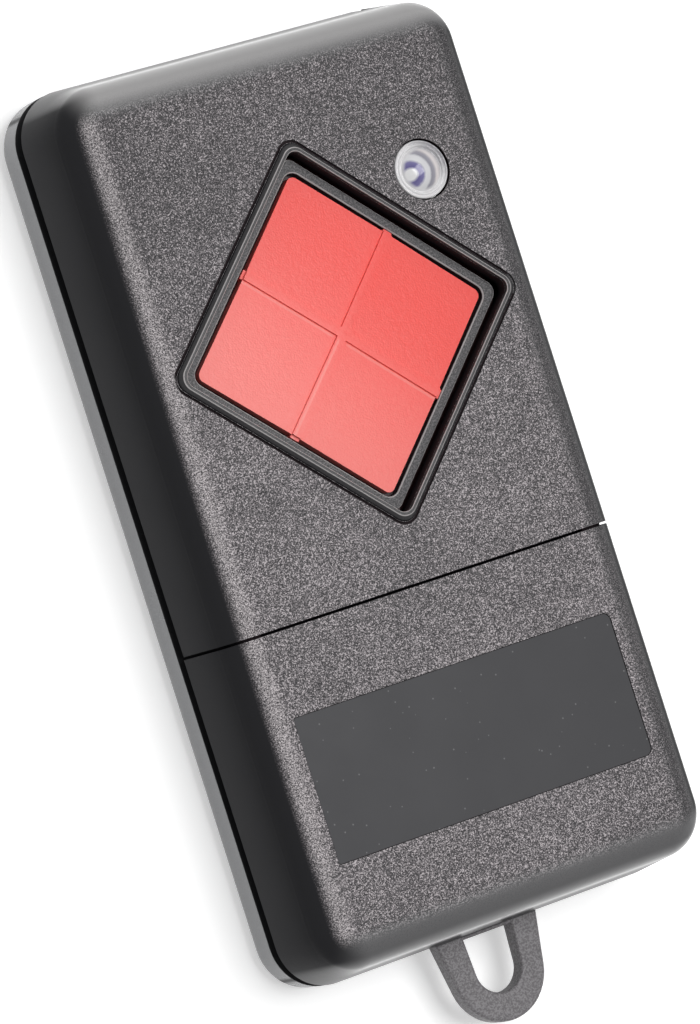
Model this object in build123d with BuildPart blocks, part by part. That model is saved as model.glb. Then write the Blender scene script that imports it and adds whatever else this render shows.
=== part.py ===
"""Garage door remote: a pocket transmitter with one four-way rocker key, lying on its back.

Frame: X is the width, +Y runs from the key-ring loop to the indicator lens,
+Z comes out of the front face. The back rests on Z = 0.
All sizes are millimetres.
"""
from math import acos, atan2, cos, sin, sqrt
import os

from build123d import *

os.makedirs("parts", exist_ok=True)

# Case, outside
case_width = 44.0
case_length = 87.8
case_thickness = 15.4
corner_radius = 5.0
cut_margin = 1.0  # how far a cutting shape runs past what it cuts
side_draft = 0.5
end_draft = 1.45
plateau_corner_radius = 4.2
plateau_edge_radius = 2.8
back_edge_radius = 2.2

# Case, joint line all round the side
joint_z = 6.0
joint_groove = 1.4
wall = 1.4
lid_ceiling_radius = 1.2

# Rear cover lip that stands inside the front shell and the battery cover
lip_inset = 1.9
lip_end_inset = 2.2
lip_thickness = 1.1
lip_top_z = 9.0
lip_corner_radius = 3.2
floor_thickness = 1.4

# Split between front shell and battery cover
split_y = -10.5
split_gap = 0.26
cover_edge_rise = -0.15
ledge_reach = 2.2
ledge_thickness = 1.2
lap_inset = 0.65  # skin of the battery cover over the front shell's side tongues
lap_reach = 1.0
lap_start = 1.0  # from the end of the ledge
slip = 0.1

# Key-ring loop
loop_reach = 9.2  # beyond the end of the case
loop_root_width = 12.3
loop_tip_radius = 4.9
loop_thickness = 1.9
loop_cover_gap = 0.2
hole_root_width = 5.4
hole_tip_radius = 2.5
hole_start = 0.4
loop_tip_wall = 2.85
loop_edge_radius = 0.3

# Four-way key
key_y = 14.0
key_side_gap = 6.203  # from the key's corner to the side of the case
key_corner = 0.7
pad_middle_z = 14.33  # the four pads fall a little from here to their outer corners
pad_fall = 0.45
cross_width = 0.95
cross_rise = 0.22
pad_inner_corner = 0.7
cross_nub = 0.3
flange_lap = 0.55  # under the edge of the opening
flange_corner = 3.0
flange_bottom_z = 12.0
flange_thickness = 0.8

# Black frame round the red cap
frame_gap = 0.42
frame_width = 0.92
frame_top_z = 14.0
frame_edge = 0.12

# Raised rim round the key opening
key_slot = 0.29
rim_crest_width = 0.33
rim_flank_width = 0.42
rim_height = 0.5
rim_corner = 1.35
foot_groove_width = 0.28
foot_groove_depth = 0.25

# Ball pivot under the key
ball_radius = 1.5
ball_z = 10.6
ball_clearance = 0.03
key_boss_radius = 2.6
key_boss_gap = 0.35
post_radius = 2.4
post_gap = 0.35

# Push switches
switch_reach = 7.5
switch_size = 6.0
switch_height = 3.5
switch_plate = 0.3
plunger_radius = 1.7
plunger_top_above_board = 4.3
plunger_length = 3.0
plunger_clearance = 0.08
plunger_shoulder = 0.4
plunger_shoulder_height = 0.5
plunger_headroom = 0.35
nub_radius = 1.5
nub_dome_radius = 4.0
nub_gap = 0.03
rivet_radius = 0.35
rivet_rise = 0.12
switch_corner = 0.3
switch_floor = 0.8
switch_leg_width = 1.6
plunger_edge = 0.15
dome_radius = 2.1
dome_rise = 0.13
dome_sheet = 0.08

# Circuit board
board_thickness = 1.2
board_top_z = 7.27
board_side_gap = 0.3
board_end_gap = 0.4
board_start_y = -9.4
board_corner = 2.0
board_hole_gap = 0.3
post_side_inset = 3.3
post_start_inset = 3.6
post_end_inset = 3.4
board_post_radius = 2.1
pilot_radius = 0.93
pin_radius = 0.75
pin_height = 0.8

# Indicator lens and lamp
lens_side_gap = 9.05  # from the lens to the side of the case
lens_y = 26.8
lens_radius = 2.84
lens_gap = 0.14
lens_flange = 0.9
lens_sink = 0.15
lens_dome_radius = 2.07
lens_dome_height = 0.7
lens_stem_radius = 2.2
lens_stem_gap = 0.08
lens_boss_radius = 4.0
lens_boss_drop = 1.0
lens_nub = 0.35
lens_edge = 0.15
lens_stem_length = 1.4
gate_angle = -80
lamp_radius = 1.5
lamp_flange_radius = 1.9
lamp_flange_thickness = 0.8
lamp_height = 5.2
lamp_crown = 1.44  # rounding of the top
lamp_lead = 0.5
lamp_lead_spacing = 2.54
lamp_lead_tail = 1.6

# Antenna, a wire staple across the lamp end of the board
antenna_half_width = 9.0
antenna_inset = 1.6
antenna_wire = 0.9
antenna_height = 4.2
antenna_bend = 1.4

# Parts on the board, places given from the case's middle
resonator_x = -9.0
resonator_inset = 9.2
resonator_radius = 4.2
resonator_brim = 0.5
resonator_height = 3.2
crystal_spot = (-13.6, 3.6)
crystal_length = 11.0
crystal_width = 4.5
crystal_height = 3.2
crystal_edge = 0.4
controller_spot = (0.0, -3.0)
controller_length = 8.7
controller_width = 3.9
controller_height = 1.4
controller_standoff = 0.12
controller_edge = 0.2
controller_dot = 0.6
controller_pins = 7
controller_pitch = 1.27
leg_width = 0.4
leg_thickness = 0.2
leg_reach = 1.0
leg_bend = 0.12
transistor_spots = [(1.0, 33.6), (1.0, 28.6)]
transistor_length = 2.9
transistor_width = 1.3
transistor_height = 0.95
transistor_pitch = 0.95
transistor_leg_length = 1.04
chip_length = 2.0
chip_width = 1.25
resistor_height = 0.5
capacitor_height = 0.8
resistor_spots = [
    (9.5, 5.4), (9.5, 2.8), (9.5, 0.2), (13.0, 5.4), (13.0, 2.8), (7.4, 31.0), (7.4, 28.4)
]
capacitor_spots = [(13.0, 0.2), (-7.6, 3.8), (-7.6, 1.2), (5.0, 33.6), (5.0, 25.6), (-15.2, 22.8)]

# Battery, a 12 V cell of 10.3 x 28.5
cell_radius = 5.15
cell_length = 28.5
cell_cap_radius = 2.9
cell_cap_height = 1.0
cell_sleeve = 0.15
cell_crimp = 0.6
cell_y = -25.6
cell_floor_gap = 0.35
cradle_thickness = 1.2
cradle_reach = 10.0
cradle_clearance = 0.25

# Battery contacts
contact_thickness = 0.4
contact_width = 6.0
contact_backing_share = 0.642  # of the space between the battery's end and the wall
contact_touch_gap = 0.02
contact_rib = 1.2
contact_fold_share = 0.389  # of the space between touch point and backing
contact_bend_share = 0.43  # of one fold
contact_heel = 2.0  # drop of the free end, in folds
contact_top_z = 9.6
contact_tail_height = 1.3
contact_tail_drop = 0.25
contact_pin = 0.9
contact_pin_inset = 0.9
contact_pin_tail = 0.5
bulkhead_y = -11.2
bulkhead_thickness = 1.2
bulkhead_top_z = 11.2

# Screws
case_screw_y = -15.0
case_tab_width = 9.0
case_tab_reach = 4.2
case_tab_thickness = 1.2
case_tab_z = 11.5
boss_radius = 3.0
screw_head_radius = 2.0
screw_head_height = 1.0
screw_shank_radius = 0.9
case_screw_length = 7.0
board_screw_head_radius = 1.8
board_screw_length = 5.0
driver_slot_width = 0.5
driver_slot_depth = 0.5
driver_slot_share = 1.3  # of the head's radius
screw_tip_chamfer = 0.3
screw_head_edge = 0.5

# Label plate
label_side_inset = 4.28
label_top_y = -18.65
label_bottom_y = -32.9
label_recess = 0.28
label_plate_thickness = 0.2
label_gap = 0.06
label_left_corner = 0.25
label_right_corner = 0.8

# Snap hooks at the lamp end and slide rails of the battery cover
hook_x = 11.0
hook_width = 4.0
hook_height = 0.8
hook_bite = 0.5
hook_window_gap = 0.15
hook_z = 7.2
rail_z = 7.4
rail_height = 0.9
rail_bite = 0.5
rail_start_y = -15.0
rail_end_inset = 6.9

# Pry notch at the lamp end
notch_x = 16.6
notch_width = 1.1
notch_height = 2.2
notch_depth = 0.9

# Worked out from the values above
mid_y = loop_reach / 2
plateau_z = case_thickness
ceiling_z = plateau_z - wall
rear_rim_z = joint_z - joint_groove
cover_joint_z = joint_z + cover_edge_rise
half_width = case_width / 2
half_length = case_length / 2
diagonal = sqrt(2)
key_half = (half_width - key_side_gap) / diagonal
label_half_width = half_width - label_side_inset
lens_x = half_width - lens_side_gap
rail_end_y = rail_end_inset - half_length
lip_half_width = half_width - lip_inset
lip_half_length = half_length - lip_end_inset
inner_half_width = lip_half_width - lip_thickness
inner_half_length = lip_half_length - lip_thickness
board_half_width = inner_half_width - board_side_gap
board_end_y = inner_half_length - board_end_gap
board_bottom_z = board_top_z - board_thickness
post_x = board_half_width - post_side_inset
post_low_y = board_start_y + post_start_inset
post_high_y = board_end_y - post_end_inset
screw_posts = [(-post_x, post_low_y), (post_x, post_high_y)]
pin_posts = [(post_x, post_low_y), (-post_x, post_high_y)]
antenna_y = board_end_y - antenna_inset
resonator_y = board_end_y - resonator_inset
rim_top_z = plateau_z + rim_height
frame_half_in = key_half + frame_gap
frame_half_out = frame_half_in + frame_width
opening_half = frame_half_out + key_slot
crest_half = opening_half + rim_crest_width
foot_half = crest_half + rim_flank_width
flange_half = opening_half + flange_lap
flange_top_z = flange_bottom_z + flange_thickness
plunger_top_z = board_top_z + plunger_top_above_board
plunger_bottom_z = plunger_top_z - plunger_length
nub_bottom_z = plunger_top_z + nub_gap
lens_top_z = plateau_z - lens_sink
contact_pin_y = board_start_y + contact_pin_inset
contact_backing_x = cell_length / 2 + contact_backing_share * (inner_half_width - cell_length / 2)
contact_touch_x = cell_length / 2 + contact_touch_gap + contact_thickness / 2
contact_fold = contact_fold_share * (contact_backing_x - contact_touch_x)
cell_z = floor_thickness + cell_floor_gap + cell_radius
contact_strip_z = board_bottom_z - contact_tail_drop - contact_tail_height
loop_top_z = cover_joint_z - loop_cover_gap
loop_bottom_z = loop_top_z - loop_thickness
lap_start_x = inner_half_width - lap_start
hook_root_y = half_length - wall / 2
hook_tip_y = lip_half_length - hook_bite
label_height = label_top_y - label_bottom_y
label_mid_y = (label_top_y + label_bottom_y) / 2
switch_spots = {"top": (0, 1), "right": (1, 0), "bottom": (0, -1), "left": (-1, 0)}


def level(z, x=0.0, y=0.0):
    """Plane parallel to the back, with its origin at a place given from the case's middle."""
    return Plane(origin=(x, mid_y + y, z))


def key_level(z):
    """Plane under the key, turned so that its axes follow the sides of the red square."""
    return Plane(origin=(0, mid_y + key_y, z), x_dir=(1, 1, 0), z_dir=(0, 0, 1))


def cap_points(radius, rise, base):
    """Three points of a ball cap's profile, from its rim to its top on the axis."""
    ball = (radius**2 + rise**2) / (2 * rise)
    half_angle = atan2(radius, ball - rise) / 2
    middle = (ball * sin(half_angle), base + rise - ball * (1 - cos(half_angle)))
    return (radius, base), middle, (0, base + rise)


def finish(builder, name):
    """Name a finished piece, say what it measures and write its file."""
    builder.part.label = name
    export_step(builder.part, f"parts/{name}.step")
    size = builder.part.bounding_box().size
    print(f"{name}: {size.X:.2f} x {size.Y:.2f} x {size.Z:.2f}, {builder.part.volume:.1f} mm3")


# Lid: the hollow shape that the front shell and the battery cover are cut from
def lid_form(inset, base_z, edge_radius):
    """Solid with the lid's outer shape, made smaller all round by the inset."""
    with BuildPart() as form:
        with BuildSketch(level(base_z)):
            RectangleRounded(
                case_width - 2 * inset, case_length - 2 * inset, corner_radius - inset
            )
        with BuildSketch(level(plateau_z - inset)):
            RectangleRounded(
                case_width - 2 * (side_draft + inset),
                case_length - 2 * (end_draft + inset),
                plateau_corner_radius - inset,
            )
        loft()
        fillet(form.faces().sort_by(Axis.Z)[-1].edges(), edge_radius)
    return form.part


lid_core = lid_form(wall, joint_z - cut_margin, lid_ceiling_radius)

with BuildPart() as lid:
    add(lid_form(0, cover_joint_z, plateau_edge_radius))
    add(lid_core, mode=Mode.SUBTRACT)


def lap_band(inset, base_z, reach, start_x):
    """Inner part of the two side walls, for a short way on both sides of the split."""
    with BuildPart() as band:
        add(lid_form(inset, base_z, plateau_edge_radius - inset))
        with BuildSketch(level(0, 0, split_y)):
            Rectangle(case_width, 2 * reach)
        extrude(amount=case_thickness, mode=Mode.INTERSECT)
        with BuildSketch(level(0, 0, split_y)):
            Rectangle(2 * start_x, 4 * reach)
        extrude(amount=case_thickness, mode=Mode.SUBTRACT)
        add(lid_core, mode=Mode.SUBTRACT)
    return band.part


# Front shell
with BuildPart() as front_shell:
    add(lid.part)
    split(bisect_by=Plane(origin=(0, mid_y + split_y + split_gap / 2, 0), z_dir=(0, 1, 0)))
    # the lower edge stands a little higher than the battery cover's
    with BuildSketch(level(cover_joint_z - cut_margin)):
        Rectangle(case_width + 2 * cut_margin, case_length + 2 * cut_margin)
    extrude(amount=cut_margin + joint_z - cover_joint_z, mode=Mode.SUBTRACT)
    # raised rim round the key
    with BuildSketch(key_level(plateau_z - wall / 2)):
        RectangleRounded(2 * foot_half, 2 * foot_half, rim_corner)
    extrude(amount=wall / 2)
    with BuildSketch(key_level(plateau_z)):
        RectangleRounded(2 * foot_half, 2 * foot_half, rim_corner)
    with BuildSketch(key_level(rim_top_z)):
        RectangleRounded(2 * crest_half, 2 * crest_half, rim_corner)
    loft()
    # fine groove at the foot of the rim
    with BuildSketch(key_level(plateau_z)):
        RectangleRounded(
            2 * (foot_half + foot_groove_width),
            2 * (foot_half + foot_groove_width),
            rim_corner + foot_groove_width,
        )
        RectangleRounded(2 * foot_half, 2 * foot_half, rim_corner, mode=Mode.SUBTRACT)
    extrude(amount=-foot_groove_depth, mode=Mode.SUBTRACT)
    # key opening
    with BuildSketch(key_level(ceiling_z - cut_margin)):
        RectangleRounded(2 * opening_half, 2 * opening_half, rim_corner - rim_crest_width)
    extrude(amount=rim_top_z - ceiling_z + 2 * cut_margin, mode=Mode.SUBTRACT)
    rim_edges = front_shell.faces().sort_by(Axis.Z)[-1].edges()
    fillet(rim_edges, rim_crest_width / 3)
    # seat of the indicator lens
    with BuildSketch(level(ceiling_z - lens_boss_drop, lens_x, lens_y)):
        Circle(lens_boss_radius)
    extrude(amount=lens_boss_drop + wall / 2)
    with BuildSketch(level(plateau_z, lens_x, lens_y)):
        Circle(lens_radius + lens_gap)
    extrude(amount=-(lens_sink + lens_flange), mode=Mode.SUBTRACT)
    with BuildSketch(level(plateau_z, lens_x, lens_y)):
        Circle(lens_stem_radius + lens_stem_gap)
    extrude(amount=-(wall + lens_boss_drop + cut_margin), mode=Mode.SUBTRACT)
    # ledge that carries the edge of the battery cover
    ledge_top_z = ceiling_z - slip
    ledge_back_y = split_y + ledge_reach
    with BuildSketch(level(ledge_top_z, 0, split_y)):
        Rectangle(2 * (inner_half_width - slip), 2 * ledge_reach)
    extrude(amount=-ledge_thickness)
    with BuildSketch(level(ledge_top_z, 0, split_y + ledge_reach / 2 + split_gap)):
        Rectangle(2 * (inner_half_width - slip), ledge_reach)
    extrude(amount=slip + wall / 2)
    # tab under the battery cover that takes the case screw
    tab_length = ledge_back_y - (case_screw_y - case_tab_reach)
    with BuildSketch(level(case_tab_z, 0, ledge_back_y - tab_length / 2)):
        Rectangle(case_tab_width, tab_length)
    extrude(amount=case_tab_thickness)
    with BuildSketch(level(case_tab_z, 0, split_y)):
        Rectangle(case_tab_width, 2 * ledge_reach)
    extrude(amount=ledge_top_z - case_tab_z)
    with BuildSketch(level(case_tab_z + case_tab_thickness, 0, case_screw_y)):
        Circle(screw_shank_radius + slip)
    extrude(amount=-case_tab_thickness, mode=Mode.SUBTRACT)
    # tongues that lie behind the battery cover's sides and close the split
    add(lap_band(lap_inset, joint_z, lap_reach, lap_start_x))
    # hooks that catch in the rear cover's lip
    for side in (-1, 1):
        with BuildSketch(level(hook_z - hook_height / 2, side * hook_x, hook_root_y)):
            Rectangle(hook_width, hook_root_y - hook_tip_y, align=(Align.CENTER, Align.MAX))
        extrude(amount=hook_height)
    # pry notch in the lower edge at the lamp end
    with BuildSketch(level(joint_z - cut_margin, notch_x, half_length)):
        Rectangle(notch_width, 2 * notch_depth)
    extrude(amount=notch_height + cut_margin, mode=Mode.SUBTRACT)
finish(front_shell, "front_shell")


# Rear cover: tray, lip, posts, bulkhead, cradle and key-ring loop
def loop_outline(root_width, tip_radius, start_y, tip_y):
    """U shape that narrows from its root to a round tip, drawn in the current line builder."""
    root = root_width / 2
    center_y = tip_y + tip_radius
    # the straight leg runs at a tangent into the round tip
    run = start_y - center_y
    turn = atan2(run, root) - acos(tip_radius / sqrt(root**2 + run**2))
    touch = Vector(tip_radius * cos(turn), center_y + tip_radius * sin(turn))
    Line((-root, start_y), (root, start_y))
    Line((root, start_y), (touch.X, touch.Y))
    ThreePointArc((touch.X, touch.Y), (0, tip_y), (-touch.X, touch.Y))
    Line((-touch.X, touch.Y), (-root, start_y))


with BuildPart() as ring_loop:
    with BuildSketch(level(loop_bottom_z)):
        with BuildLine():
            loop_outline(
                loop_root_width, loop_tip_radius, slip - lip_half_length, -half_length - loop_reach
            )
        make_face()
        with BuildLine():
            loop_outline(
                hole_root_width,
                hole_tip_radius,
                -half_length - hole_start,
                -half_length - loop_reach + loop_tip_wall,
            )
        make_face(mode=Mode.SUBTRACT)
    extrude(amount=loop_thickness)
    fillet(
        ring_loop.faces().sort_by(Axis.Z)[0].edges() + ring_loop.faces().sort_by(Axis.Z)[-1].edges(),
        loop_edge_radius,
    )

with BuildPart() as rear_cover:
    with BuildSketch(level(0)):
        RectangleRounded(case_width, case_length, corner_radius)
    extrude(amount=rear_rim_z)
    fillet(rear_cover.faces().sort_by(Axis.Z)[0].edges(), back_edge_radius)
    # lip
    with BuildSketch(level(floor_thickness)):
        RectangleRounded(2 * lip_half_width, 2 * lip_half_length, lip_corner_radius)
    extrude(amount=lip_top_z - floor_thickness)
    # cavity
    with BuildSketch(level(floor_thickness)):
        RectangleRounded(
            2 * inner_half_width, 2 * inner_half_length, lip_corner_radius - lip_thickness
        )
    extrude(amount=lip_top_z, mode=Mode.SUBTRACT)
    # windows for the front shell's hooks
    window_z = hook_z - hook_height / 2 - hook_window_gap
    for side in (-1, 1):
        with BuildSketch(level(window_z, side * hook_x, lip_half_length)):
            Rectangle(hook_width + 2 * hook_window_gap, 4 * lip_thickness)
        extrude(amount=hook_height + 2 * hook_window_gap, mode=Mode.SUBTRACT)
    # grooves that guide the battery cover's rails and run out at the loop end
    for side in (-1, 1):
        groove_x = side * (lip_half_width - rail_bite - slip)
        with BuildSketch(level(rail_z - rail_height / 2 - slip, groove_x, rail_start_y + slip)):
            Rectangle(
                2 * rail_bite,
                case_length,
                align=(Align.MIN if side > 0 else Align.MAX, Align.MAX),
            )
        extrude(amount=rail_height + 2 * slip, mode=Mode.SUBTRACT)
    # posts under the circuit board, two with screw holes and two with locating pins
    for x, y in screw_posts + pin_posts:
        with BuildSketch(level(floor_thickness, x, y)):
            Circle(board_post_radius)
        extrude(amount=board_bottom_z - floor_thickness)
    for x, y in screw_posts:
        with BuildSketch(level(board_bottom_z, x, y)):
            Circle(pilot_radius)
        extrude(amount=-(board_screw_length - board_thickness + slip), mode=Mode.SUBTRACT)
    for x, y in pin_posts:
        with BuildSketch(level(board_bottom_z, x, y)):
            Circle(pin_radius)
        extrude(amount=board_thickness + pin_height)
    # centre post with a cup for the ball the key rocks on
    with BuildSketch(level(floor_thickness, 0, key_y)):
        Circle(post_radius)
    extrude(amount=ball_z - post_gap - floor_thickness)
    with Locations((0, mid_y + key_y, ball_z)):
        Sphere(ball_radius + ball_clearance, mode=Mode.SUBTRACT)
    # bulkhead between circuit board and battery
    with BuildSketch(level(floor_thickness, 0, bulkhead_y)):
        Rectangle(2 * inner_half_width, bulkhead_thickness)
    extrude(amount=lip_top_z - floor_thickness)
    with BuildSketch(level(lip_top_z - cut_margin, 0, bulkhead_y)):
        Rectangle(2 * (inner_half_width - 2 * corner_radius), bulkhead_thickness)
    extrude(amount=bulkhead_top_z - lip_top_z + cut_margin)
    for side in (-1, 1):
        with BuildSketch(level(contact_strip_z - slip, side * contact_backing_x, bulkhead_y)):
            Rectangle(4 * contact_thickness, 3 * bulkhead_thickness)
        extrude(amount=lip_top_z, mode=Mode.SUBTRACT)
    # cradle for the battery
    cradle_rib_y = cell_radius + cradle_clearance + cradle_thickness / 2
    for side in (-1, 1):
        with BuildSketch(level(floor_thickness, 0, cell_y + side * cradle_rib_y)):
            Rectangle(2 * cradle_reach, cradle_thickness)
        extrude(amount=cell_z - floor_thickness)
        with BuildSketch(level(floor_thickness, side * cradle_reach, cell_y)):
            Rectangle(cradle_thickness, 2 * cradle_rib_y)
        extrude(amount=cell_radius / 2)
    with BuildSketch(Plane(origin=(-cell_length / 2, mid_y + cell_y, cell_z), z_dir=(1, 0, 0))):
        Circle(cell_radius + slip)
    extrude(amount=cell_length, mode=Mode.SUBTRACT)
    # pads and ribs that hold the battery contacts
    rib_start_x = contact_backing_x - 2 * contact_thickness
    pad_start_x = contact_backing_x + contact_thickness / 2 + contact_touch_gap
    for side in (-1, 1):
        inward = Align.MIN if side > 0 else Align.MAX
        with BuildSketch(level(floor_thickness, side * pad_start_x, cell_y)):
            Rectangle(
                inner_half_width + slip - pad_start_x,
                contact_width + 2 * (slip + contact_rib),
                align=(inward, Align.CENTER),
            )
        extrude(amount=lip_top_z - floor_thickness)
        for end in (-1, 1):
            rib_y = cell_y + end * (contact_width / 2 + slip)
            with BuildSketch(level(floor_thickness, side * rib_start_x, rib_y)):
                Rectangle(
                    pad_start_x - rib_start_x,
                    contact_rib,
                    align=(inward, Align.MIN if end > 0 else Align.MAX),
                )
            extrude(amount=lip_top_z - floor_thickness)
        with BuildSketch(level(contact_strip_z - slip, side * contact_backing_x, cell_y)):
            Rectangle(contact_thickness + slip, 2 * contact_width, align=(Align.CENTER, Align.MIN))
        extrude(amount=lip_top_z, mode=Mode.SUBTRACT)
    # boss for the case screw
    with BuildSketch(level(floor_thickness, 0, case_screw_y)):
        Circle(boss_radius)
    extrude(amount=case_tab_z - slip / 2 - floor_thickness)
    with BuildSketch(level(case_tab_z, 0, case_screw_y)):
        Circle(pilot_radius)
    extrude(amount=-(case_screw_length - case_tab_thickness + slip), mode=Mode.SUBTRACT)
    # key-ring loop, its root set into the end of the lip
    add(ring_loop.part)
finish(rear_cover, "rear_cover")


# Battery cover
with BuildPart() as battery_cover:
    add(lid.part)
    split(bisect_by=Plane(origin=(0, mid_y + split_y - split_gap / 2, 0), z_dir=(0, -1, 0)))
    # room for the front shell's side tongues
    add(
        lap_band(lap_inset - slip, cover_joint_z - cut_margin, lap_reach + slip, lap_start_x - slip),
        mode=Mode.SUBTRACT,
    )
    # recess for the label plate, square at the left and round at the right
    with BuildSketch(level(plateau_z, 0, label_mid_y)) as recess:
        Rectangle(2 * label_half_width, label_height)
        fillet(recess.vertices().group_by(Axis.X)[0], label_left_corner)
        fillet(recess.vertices().group_by(Axis.X)[-1], label_right_corner)
    extrude(amount=-label_recess, mode=Mode.SUBTRACT)
    # rails that run in the grooves of the rear cover's lip
    rail_root_x = half_width - wall / 2
    for side in (-1, 1):
        with BuildSketch(level(rail_z - rail_height / 2, side * rail_root_x, rail_start_y)):
            Rectangle(
                rail_root_x - (lip_half_width - rail_bite),
                rail_start_y - rail_end_y,
                align=(Align.MAX if side > 0 else Align.MIN, Align.MAX),
            )
        extrude(amount=rail_height)
finish(battery_cover, "battery_cover")


# Label plate, bare
with BuildPart() as label_plate:
    with BuildSketch(level(plateau_z - label_recess, 0, label_mid_y)) as plate:
        Rectangle(2 * (label_half_width - label_gap), label_height - 2 * label_gap)
        fillet(plate.vertices().group_by(Axis.X)[0], label_left_corner)
        fillet(plate.vertices().group_by(Axis.X)[-1], label_right_corner - label_gap)
    extrude(amount=label_plate_thickness)
finish(label_plate, "label_plate")


# Key: red cap, flange, switch nubs and ball socket in one moulding
nub_rise = nub_dome_radius - sqrt(nub_dome_radius**2 - nub_radius**2)
nub_middle = nub_radius / 2
nub_middle_rise = nub_dome_radius - sqrt(nub_dome_radius**2 - nub_middle**2)

with BuildPart() as switch_nub:
    with BuildSketch(Plane.XZ):
        with BuildLine():
            ThreePointArc((0, 0), (nub_middle, nub_middle_rise), (nub_radius, nub_rise))
            Polyline(
                (nub_radius, nub_rise),
                (nub_radius, flange_top_z - nub_bottom_z),
                (0, flange_top_z - nub_bottom_z),
                (0, 0),
            )
        make_face()
    revolve(axis=Axis.Z)

with BuildPart() as rocker_key:
    with BuildSketch(key_level(flange_bottom_z)):
        RectangleRounded(2 * flange_half, 2 * flange_half, flange_corner)
    extrude(amount=flange_thickness)
    with BuildSketch(key_level(flange_bottom_z)):
        RectangleRounded(2 * key_half, 2 * key_half, key_corner)
    extrude(amount=pad_middle_z + 2 * cross_rise - flange_bottom_z)
    # four pads that fall to their outer corners, with the raised cross between them
    pad_slope = atan2(pad_fall, key_half * diagonal)
    far = 2 * key_half * diagonal
    for out_x, out_y in switch_spots.values():
        outward = Axis((0, mid_y + key_y, 0), (out_x, out_y, 0))
        for near, top_z in ((cross_width / diagonal, pad_middle_z), (0, pad_middle_z + cross_rise)):
            pad_plane = Plane(
                origin=(0, mid_y + key_y, top_z),
                x_dir=(out_x * cos(pad_slope), out_y * cos(pad_slope), -sin(pad_slope)),
                z_dir=(out_x * sin(pad_slope), out_y * sin(pad_slope), cos(pad_slope)),
            )
            with BuildSketch(pad_plane) as pad:
                with BuildLine():
                    Polyline(
                        (near, 0), (near + far, far), (near + 2 * far, 0), (near + far, -far), (near, 0)
                    )
                make_face()
                if near:
                    fillet(pad.vertices().group_by(outward)[0], pad_inner_corner)
            extrude(amount=4 * cross_rise, dir=(0, 0, 1), mode=Mode.SUBTRACT)
    # ends of the cross stand out a little from the sides of the cap
    with BuildSketch(key_level(flange_top_z)):
        Rectangle(cross_width, 2 * (key_half + cross_nub))
        Rectangle(2 * (key_half + cross_nub), cross_width)
    extrude(amount=frame_top_z - flange_top_z)
    # nubs that press the switches
    for x, y in switch_spots.values():
        with Locations((x * switch_reach, mid_y + key_y + y * switch_reach, nub_bottom_z)):
            add(switch_nub.part)
    # socket over the ball
    with BuildSketch(key_level(ball_z + key_boss_gap)):
        Circle(key_boss_radius)
    extrude(amount=flange_bottom_z - ball_z - key_boss_gap)
    with Locations((0, mid_y + key_y, ball_z)):
        Sphere(ball_radius + ball_clearance, mode=Mode.SUBTRACT)
finish(rocker_key, "rocker_key")


# Black frame seated on the key's flange
with BuildPart() as key_frame:
    frame_corner = key_corner + frame_gap
    with BuildSketch(key_level(flange_top_z)):
        RectangleRounded(2 * frame_half_out, 2 * frame_half_out, frame_corner)
        RectangleRounded(2 * frame_half_in, 2 * frame_half_in, frame_corner, mode=Mode.SUBTRACT)
    extrude(amount=frame_top_z - flange_top_z)
    chamfer(key_frame.faces().sort_by(Axis.Z)[-1].edges(), frame_edge)
finish(key_frame, "key_frame")


# Ball the key rocks on
with BuildPart() as pivot_ball:
    with Locations((0, mid_y + key_y, ball_z)):
        Sphere(ball_radius)
finish(pivot_ball, "pivot_ball")


# Circuit board
with BuildPart() as circuit_board:
    with BuildSketch(level(board_bottom_z, 0, (board_start_y + board_end_y) / 2)):
        RectangleRounded(2 * board_half_width, board_end_y - board_start_y, board_corner)
    extrude(amount=board_thickness)
    with BuildSketch(level(board_bottom_z, 0, key_y)):
        Circle(post_radius + board_hole_gap)
    extrude(amount=board_thickness, mode=Mode.SUBTRACT)
    for spots, radius in ((screw_posts, screw_shank_radius), (pin_posts, pin_radius)):
        for x, y in spots:
            with BuildSketch(level(board_bottom_z, x, y)):
                Circle(radius + slip)
            extrude(amount=board_thickness, mode=Mode.SUBTRACT)
    for side in (-1, 1):
        with BuildSketch(level(board_bottom_z, side * contact_backing_x, contact_pin_y)):
            Rectangle(contact_thickness + 2 * slip, contact_pin + 2 * slip)
        extrude(amount=board_thickness, mode=Mode.SUBTRACT)
        with BuildSketch(level(board_bottom_z, lens_x + side * lamp_lead_spacing / 2, lens_y)):
            Rectangle(lamp_lead + 2 * slip, lamp_lead + 2 * slip)
        extrude(amount=board_thickness, mode=Mode.SUBTRACT)
        with BuildSketch(level(board_bottom_z, side * antenna_half_width, antenna_y)):
            Circle(antenna_wire / 2 + slip)
        extrude(amount=board_thickness, mode=Mode.SUBTRACT)
finish(circuit_board, "circuit_board")


# Push switches under the four pads
def switch_place(spot):
    """Place of a switch on the board, from its direction seen from the key's middle."""
    return level(board_top_z, spot[0] * switch_reach, key_y + spot[1] * switch_reach)


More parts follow.
